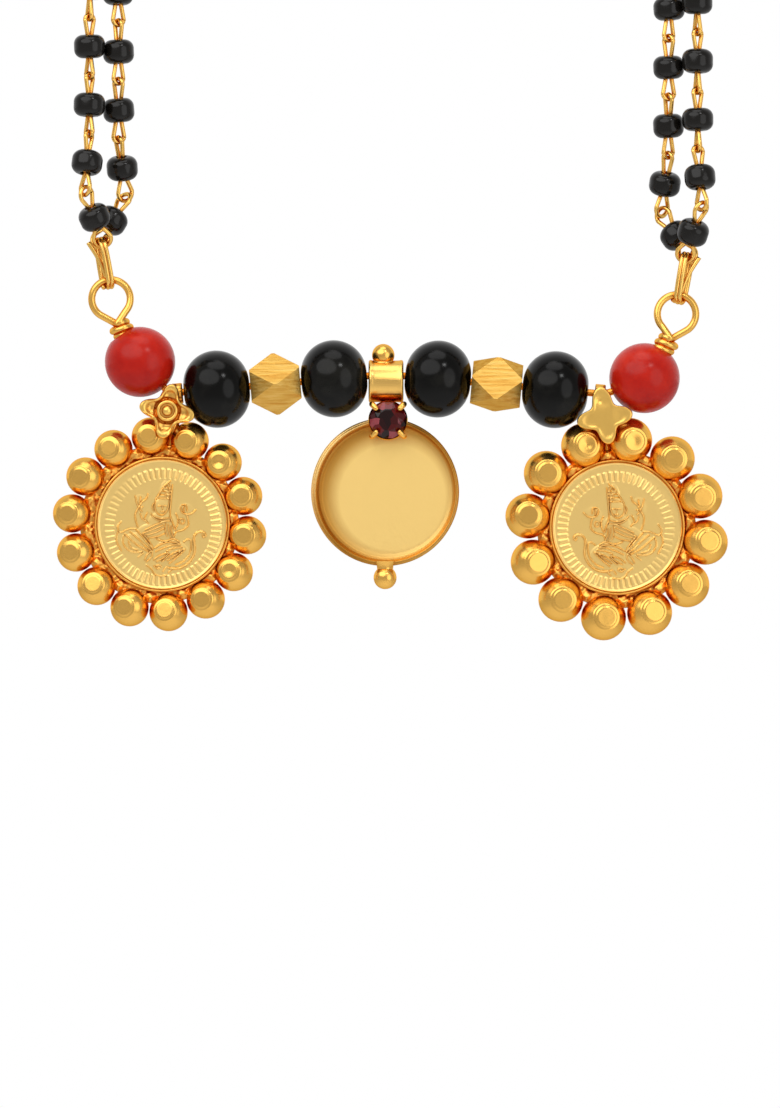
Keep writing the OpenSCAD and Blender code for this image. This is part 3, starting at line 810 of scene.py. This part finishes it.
# Raised lines of the coin's figure, a rider on a long-necked bird: half width, height, then points x, z
LINES = [
    (0.07, 0.13, [(1.15, 4.3), (0.98, 2.7), (0.88, 1.0), (1.2, 0.1), (1.35, -0.5)]),
    (0.07, 0.11, [(0.95, 4.75), (0.3, 4.25), (-0.2, 3.5), (-0.75, 2.65)]),
    (0.06, 0.10, [(0.2, 4.0), (1.05, 3.95)]),
    (0.06, 0.10, [(0.0, 3.65), (1.0, 3.6)]),
    (0.06, 0.10, [(-0.2, 3.25), (0.98, 3.2)]),
    (0.06, 0.10, [(-0.5, 2.85), (0.95, 2.8)]),
    (0.05, 0.09, [(0.6, 4.5), (0.35, 2.9)]),
    (0.05, 0.09, [(0.85, 4.4), (0.75, 2.9)]),
    (0.06, 0.12, [(-0.75, 2.6), (-0.8, 1.9), (-0.6, 1.3), (-0.1, 0.98), (0.4, 1.25), (0.72, 1.9),
                 (0.8, 2.6)]),
    (0.05, 0.09, [(-0.42, 1.98), (-0.25, 2.05), (-0.1, 1.98)]),
    (0.05, 0.09, [(0.18, 1.98), (0.32, 2.05), (0.5, 1.98)]),
    (0.05, 0.10, [(0.04, 2.0), (0.05, 1.66)]),
    (0.05, 0.09, [(-0.14, 1.42), (0.05, 1.38), (0.24, 1.42)]),
    (0.06, 0.10, [(-0.9, 2.3), (-1.1, 1.9), (-0.95, 1.5)]),
    (0.06, 0.10, [(-1.25, 1.2), (-0.8, 0.8), (0.0, 0.6), (0.7, 0.7)]),
    (0.06, 0.10, [(-1.1, 0.9), (-0.5, 0.45), (0.3, 0.35)]),
    (0.06, 0.10, [(-1.6, 1.3), (-1.9, 0.6), (-1.5, 0.1)]),
    (0.08, 0.12, [(-1.55, 3.3), (-1.75, 2.8), (-2.25, 2.4), (-2.55, 1.9)]),
    (0.07, 0.11, [(-2.95, 3.1), (-2.85, 2.5), (-2.6, 1.95)]),
    (0.07, 0.11, [(-2.35, 3.0), (-2.45, 2.4)]),
    (0.06, 0.10, [(-2.1, 1.95), (-2.45, 1.6), (-2.2, 1.4)]),
    (0.07, 0.11, [(-2.6, 1.8), (-2.95, 1.1), (-2.9, 0.4), (-2.65, -0.3)]),
    (0.06, 0.09, [(-2.4, 1.2), (-2.2, 0.6), (-1.7, 0.3)]),
    (0.07, 0.12, [(2.05, 1.9), (2.15, 1.35), (2.6, 1.1), (3.2, 1.15), (3.7, 1.6)]),
    (0.06, 0.11, [(2.2, 2.1), (2.65, 2.1), (2.75, 1.5)]),
    (0.06, 0.11, [(2.4, 2.0), (2.4, 1.3)]),
    (0.07, 0.12, [(2.7, 1.05), (2.85, 0.5), (2.9, -0.1), (2.3, -0.65), (1.6, -0.8), (1.3, -1.3)]),
    (0.06, 0.10, [(1.95, 0.5), (2.2, 0.65), (2.5, 0.4), (2.3, 0.0), (2.0, 0.15), (1.95, 0.5)]),
    (0.06, 0.10, [(1.5, 1.2), (1.75, 0.6), (1.7, -0.1), (1.4, -0.6)]),
    (0.07, 0.11, [(-1.8, -0.6), (-0.9, -0.15), (0.2, 0.3), (0.9, 0.35)]),
    (0.07, 0.11, [(-2.0, -0.95), (-0.8, -0.5), (0.1, -0.1)]),
    (0.07, 0.11, [(-1.7, -1.2), (-0.7, -0.9), (0.2, -0.45)]),
    (0.06, 0.10, [(-1.4, -1.5), (-0.5, -1.35), (0.3, -1.0)]),
    (0.06, 0.10, [(0.4, 0.1), (0.35, -0.6), (0.55, -1.3)]),
    (0.06, 0.10, [(0.7, 0.0), (0.72, -0.7), (0.95, -1.45)]),
    (0.06, 0.10, [(1.0, -0.2), (1.05, -0.9), (1.3, -1.5)]),
    (0.07, 0.11, [(-0.6, -1.6), (0.3, -1.9), (1.2, -1.6), (1.9, -1.9)]),
    (0.08, 0.12, [(-4.1, -1.1), (-3.2, -1.9), (-2.4, -2.5), (-1.5, -2.95)]),
    (0.08, 0.12, [(-3.5, -0.85), (-2.6, -1.6), (-1.9, -2.3), (-1.2, -2.85)]),
    (0.08, 0.12, [(-2.8, -0.65), (-2.2, -1.3), (-1.6, -2.0), (-1.0, -2.7)]),
    (0.07, 0.11, [(-2.1, -1.0), (-1.6, -1.6), (-1.1, -2.4)]),
    (0.07, 0.10, [(-4.2, -1.3), (-4.3, -2.0), (-3.8, -2.8), (-3.0, -3.1), (-2.2, -3.0)]),
    (0.07, 0.10, [(-4.9, -0.9), (-5.0, -1.9), (-4.5, -2.9)]),
    (0.07, 0.10, [(-3.7, -1.9), (-3.4, -2.6), (-2.7, -2.8)]),
    (0.07, 0.10, [(-4.5, 0.3), (-4.9, -0.3), (-4.6, -0.9), (-3.6, -0.5), (-2.9, -0.5)]),
    (0.07, 0.11, [(-1.9, -3.9), (-1.6, -3.3), (-1.1, -2.95), (-1.15, -3.6), (-1.7, -4.1)]),
    (0.07, 0.10, [(-2.6, -3.6), (-2.1, -3.2)]),
    (0.07, 0.12, [(-0.8, -2.6), (-0.1, -2.2), (0.9, -1.95), (1.8, -2.1)]),
    (0.07, 0.12, [(-0.7, -3.0), (0.2, -2.6), (1.1, -2.3), (2.0, -2.2)]),
    (0.07, 0.12, [(-0.9, -3.9), (-0.2, -3.4), (0.7, -3.2), (0.2, -3.7), (-0.6, -4.1)]),
    (0.07, 0.12, [(0.0, -4.1), (0.7, -3.5), (1.7, -3.0), (2.5, -2.75), (2.0, -3.3), (1.3, -3.9),
                 (0.8, -4.3)]),
    (0.07, 0.11, [(0.5, -2.95), (1.4, -2.6), (2.2, -2.5)]),
    (0.06, 0.11, [(0.6, -4.0), (1.5, -3.4), (2.0, -3.0)]),
    (0.10, 0.14, [(4.75, -1.25), (4.65, -0.95), (4.2, -0.8), (3.75, -1.0), (3.5, -1.5), (3.55, -2.3),
                 (3.55, -3.1), (3.2, -3.9), (2.6, -4.5), (1.8, -4.85), (1.0, -4.85)]),
    (0.07, 0.11, [(2.4, -1.95), (2.8, -1.65), (3.15, -1.8), (3.2, -2.6), (2.95, -3.4), (2.3, -4.1),
                 (1.5, -4.45)]),
    (0.06, 0.10, [(4.4, -1.2), (4.55, -1.45), (4.8, -1.3)]),
    (0.07, 0.11, [(-1.7, -4.5), (-1.2, -4.9), (-0.9, -5.4), (-0.3, -5.7), (0.5, -5.6)]),
    (0.07, 0.11, [(-0.9, -4.6), (-0.5, -4.9), (-0.1, -4.7), (-0.3, -4.5), (-0.6, -4.6)]),
    (0.07, 0.11, [(0.1, -5.2), (0.5, -4.7), (1.0, -5.0), (0.7, -5.3)])]
# Soft rises under the lines: x, z, half length across, half length up, height
RISES = [(0.0, 1.9, 0.9, 1.0, 0.07), (0.4, 3.3, 0.7, 1.5, 0.05), (0.0, 0.3, 1.5, 1.1, 0.06),
         (-0.6, -0.8, 2.1, 1.0, 0.06), (-2.4, -1.9, 2.1, 1.0, 0.05), (0.9, -3.2, 2.1, 1.5, 0.07),
         (-2.4, 2.3, 0.8, 1.0, 0.03), (2.6, 1.4, 0.9, 0.9, 0.03)]
# The coin's rounded edge and side: radius, and depth below the face
COIN_RIM = [(7.0, 0), (7.05, 0), (7.1, 0.02), (7.15, 0.06), (7.2, 0.12), (7.2, 0.35), (7.2, 0.8), (7.15, 1.2)]


def raise_line(h, x, z, half, height, points):
    """Raises h to a round ridge along a line, where it isn't that high yet."""
    path = smooth_path([(px, pz, 0) for px, pz in points], 0.25)[:, :2]
    for start, end in zip(path[:-1], path[1:]):
        d, mid = end - start, (start + end) / 2
        near = np.abs(x - mid[0]) < abs(d[0]) / 2 + half
        near &= np.abs(z - mid[1]) < abs(d[1]) / 2 + half
        px, pz = x[near] - start[0], z[near] - start[1]
        t = np.clip((px * d[0] + pz * d[1]) / max(1e-9, d @ d), 0, 1)
        far = np.hypot(px - t * d[0], pz - t * d[1])
        h[near] = np.maximum(h[near], 1.25 * height * np.sqrt(np.clip(1 - (far / half) ** 2, 0, 1)))


def edge_ridges(x, z):
    """The short ridges round the coin's edge with the grooves between them, fainter towards -X."""
    count, inner_r, outer_r = 60, 5.3, 6.5
    x_off, z_off = x - 0.1, z + 0.3
    r, k = np.hypot(x_off, z_off), np.arctan2(z_off, x_off) * count / (2 * math.pi)
    aside = np.abs(k - np.round(k))
    ridge = 0.06 * np.clip((0.34 - aside) / 0.14, 0, 1) - 0.05 * np.clip((aside - 0.34) / 0.1, 0, 1)
    worn = np.clip((x + 5.6) / 4.0, 0.35, 1)
    return worn * ridge * np.clip((r - inner_r) / 0.1, 0, 1) * np.clip((outer_r - r) / 0.2, 0, 1)


def coin_height(x, z):
    """Height of the coin's face over its ground: its soft rises, its lines and the ridges round its edge."""
    ground, h = np.zeros_like(x), np.zeros_like(x)
    for cx, cz, across, up, rise in RISES:
        inside = np.clip(1 - ((x - cx) / across) ** 2 - ((z - cz) / up) ** 2, 0, 1)
        ground = np.maximum(ground, rise * inside ** 0.5)
    for half, height, points in LINES:
        raise_line(h, x, z, half, height, points)
    ridges = edge_ridges(x, z)
    return ground + np.where(h > 0, np.maximum(h, ridges), ridges)


def coin_face(flip):
    """The coin's face and side, with the figure mirrored if flip is -1."""
    rings, cols, thick = 108, 720, 0.9
    rim_r, rim_drop = np.array(COIN_RIM).T
    drop = np.concatenate([np.zeros(rings), rim_drop])
    radii = np.concatenate([np.linspace(0.01, 6.95, rings), rim_r])
    r, a = np.meshgrid(radii, circle(cols), indexing="ij")
    x, z = r * np.cos(a), r * np.sin(a)
    raised_rim = 0.13 * np.exp(-((r - 7.05) / 0.12) ** 2)
    h = coin_height(x * flip, z) + thick + raised_rim - drop[:, None]
    return np.stack([x.ravel(), -h.ravel(), z.ravel()], 1), capped_faces(*r.shape)


def backing(count, first):
    """The rough solder behind the balls, swelling up between each two of them, and its flat back."""
    rows, cols, inner_r, wide, outer_t, back_r = 26, 400, 6.9, 1.85, 0.85, 8.45
    verts = []
    local = np.random.default_rng(count)
    waves = [(unit(local.normal(size=2)) * local.uniform(5, 13), local.uniform(0, 6.28)) for _ in range(20)]
    for t in np.linspace(0, 1, rows):
        r = inner_r + wide * min(1, t / outer_t)
        over = max(0, (t - outer_t) / (1 - outer_t))
        for a in circle(cols):
            gap = (math.degrees(a) - first) * count / 360 + 0.5
            swell = math.exp(-((gap - round(gap)) / 0.16) ** 2) * math.exp(-((r - 8.1) / 0.55) ** 2)
            x, z = r * math.sin(a), r * math.cos(a)
            rough = sum(math.sin(w[0] * x + w[1] * z + p) for w, p in waves) / len(waves)
            high = 0.42 + 0.5 * swell + 0.22 * rough - 0.7 * over
            edge_r = r - 0.3 * over
            verts.append((edge_r * math.sin(a), -high, edge_r * math.cos(a)))
    verts += [(back_r * math.sin(a), 0.1, back_r * math.cos(a)) for a in circle(cols)]
    return np.array(verts), grid_faces(rows + 1, cols) + [tuple(range(rows * cols, (rows + 1) * cols))]


def medallion_look(side, coin_at, coin_off, star_at, star_turn, count, r, spread, first, face, dents):
    """A medallion: count balls of radius r in a ring of radius spread, its coin, solder, tube and star.

    Angles are in degrees: first from the top to the first ball, and face from the front to where balls face.
    coin_at, the middle of the ring, and star_at are from the swing's line, and coin_off is from coin_at.
    """
    node, pivot = "medallion_" + side, JOINTS[side + "_medallion_swing"]
    left = side == "left"
    middle = pivot + coin_at

    def piece(part, shape, look, sharp=None):
        add(f"{node}_{part}", shape, look, replaces=[node], body=side + "_medallion",
            sharp=sharp)

    balls = []
    way = np.array([math.sin(math.radians(face)), -math.cos(math.radians(face)), 0.05])
    for k in range(count):
        a = math.radians(first + k * 360 / count)
        tip = unit(way + rng.normal(size=3) * 0.06)
        at = spread * np.array([math.sin(a), 0, math.cos(a)])
        balls.append(ball(r, at, tip, flat=0.875, dent=dents.get(k, 0), sides=40))
    piece("balls", moved(joined(balls), at=middle), POLISHED)
    piece("coin", moved(coin_face(1 if left else -1), at=middle + coin_off), COIN, sharp=50)
    ring = moved(torus(7.32, 0.16, 10, 128), FRONT, np.array(coin_off) + [0, -0.75, 0])
    piece("web", moved(joined([backing(count, first), ring]), at=middle), ROUGH)
    tube = revolved(same_below([(0.64, 0.57), (1.05, 0.57), (1.13, 0.5)]), 40, closed=True)
    tube = moved(tube, turn("Y", 90 + BAR_SLOPE * SIDES[side]), pivot + [0, 0, -0.1])
    down = middle - pivot
    stem_low = pivot + (np.linalg.norm(down) - 8) * unit(down)
    stem = moved(swept([pivot + [0, 0, -0.95], stem_low], 0.6, 20), at=[0, 0.2, 0])
    piece("tube", joined([tube, stem]), POLISHED, sharp=55)
    piece("star", moved(star_shape(left), turn("Y", star_turn) @ FRONT, pivot + star_at), STAR, sharp=55)


medallion_look("left", coin_at=[-1.97, 0, -14.48], coin_off=[0.28, 0, 0], star_at=[-1.1, 0, -2.02],
               star_turn=11, count=14, r=2.12, spread=9.7, first=-5.8, face=-14, dents={2: 0.08, 5: 0.05})
medallion_look("right", coin_at=[1.84, 0, -14.9], coin_off=[0.04, 0, 0.2], star_at=[0.51, 0, -2.68],
               star_turn=-9.5, count=12, r=2.49, spread=9.86, first=8.4, face=8, dents={0: 0.04, 11: 0.07})

for node in ("end_ring_left", "end_ring_right", "clasp_hook"):
    mesh = repainted(node, POLISHED).data
    mesh.polygons.foreach_set("use_smooth", [True] * len(mesh.polygons))


# Stage: what follows is in metres

world = bpy.data.worlds.new("studio")
bpy.context.scene.world = world
world.use_nodes = True
studio = world.node_tree


def mapped(source, low, high, to_low, to_high):
    """A value from low to high carried over to one from to_low to to_high, and no further."""
    n = studio.nodes.new("ShaderNodeMapRange")
    studio.links.new(source, n.inputs["Value"])
    for socket, value in (("From Min", low), ("From Max", high), ("To Min", to_low), ("To Max", to_high)):
        n.inputs[socket].default_value = value
    return n


# The camera sees a white world, and the metal a grey one that is lighter behind the necklace and below it
split = studio.nodes.new("ShaderNodeSeparateXYZ")
studio.links.new(studio.nodes.new("ShaderNodeTexCoord").outputs["Generated"], split.inputs[0])
behind = mapped(split.outputs["Y"], -0.2, 0.6, 0.0, 0.5)
level = mapped(split.outputs["Z"], -1.0, 1.0, 0.6, 0.4)
total = studio.nodes.new("ShaderNodeMath")
total.operation = "ADD"
studio.links.new(level.outputs["Result"], total.inputs[0])
studio.links.new(behind.outputs["Result"], total.inputs[1])
seen = mapped(studio.nodes.new("ShaderNodeLightPath").outputs["Is Camera Ray"], 0.0, 1.0, 0.0, 1.0)
studio.links.new(total.outputs[0], seen.inputs["To Min"])
background = studio.nodes["Background"].inputs
background["Color"].default_value = (1, 1, 1, 1)
studio.links.new(seen.outputs["Result"], background["Strength"])

# The middle of the picture, and the height of what it shows there
CENTRE = Vector(((CORNER + [0.44, 0, -19.77]) * MM).tolist())
VIEW_HIGH = 0.12188
LAMPS_FAR, CAMERA_FAR = 0.6, 1.5


def lamp(name, azimuth, elevation, wide, high, power):
    """A white oval lamp that faces the middle of the picture. Azimuth 0 is at the viewer and 90 at +X."""
    a, el = math.radians(azimuth), math.radians(elevation)
    way = Vector((math.sin(a) * math.cos(el), -math.cos(a) * math.cos(el), math.sin(el)))
    light = bpy.data.lights.new(name, "AREA")
    light.shape = "ELLIPSE"
    light.size, light.size_y = wide, high
    light.energy = power
    obj = bpy.data.objects.new(name, light)
    obj.location = CENTRE + way * LAMPS_FAR
    obj.rotation_euler = (-way).to_track_quat("-Z", "Y").to_euler()
    bpy.context.scene.collection.objects.link(obj)


lamp("key", -32, 37, 0.8, 0.5, 1.9)
lamp("top", -10, 78, 0.5, 0.35, 0.75)
lamp("fill", 42, 4, 0.45, 0.6, 0.8)
lamp("spark", 28, 42, 0.11, 0.08, 0.28)

# A round floor, far below the picture and so wide that its edge stays out of it
FLOOR_R, FLOOR_Z, FLOOR_SIDES = 6, -0.6, 96
floor = bpy.data.meshes.new("floor")
rim = [(FLOOR_R * math.cos(a), FLOOR_R * math.sin(a), FLOOR_Z) for a in circle(FLOOR_SIDES)]
floor.from_pydata(rim, [], [tuple(range(FLOOR_SIDES))])
floor.materials.append(material("pale_floor", (0.95, 0.95, 0.95), 0.7))
floor_obj = bpy.data.objects.new("floor", floor)
bpy.context.scene.collection.objects.link(floor_obj)

cam = bpy.data.cameras.new("camera")
cam.sensor_fit = "VERTICAL"
cam.sensor_height = 36
cam.lens = cam.sensor_height * CAMERA_FAR / VIEW_HIGH
cam.clip_start = 0.05
cam.clip_end = 20
camera = bpy.data.objects.new("camera", cam)
camera.location = CENTRE + Vector((0, -CAMERA_FAR, 0))
camera.rotation_euler = (math.radians(90), 0, 0)
bpy.context.scene.collection.objects.link(camera)
bpy.context.scene.camera = camera
bpy.context.scene.view_settings.view_transform = "Standard"
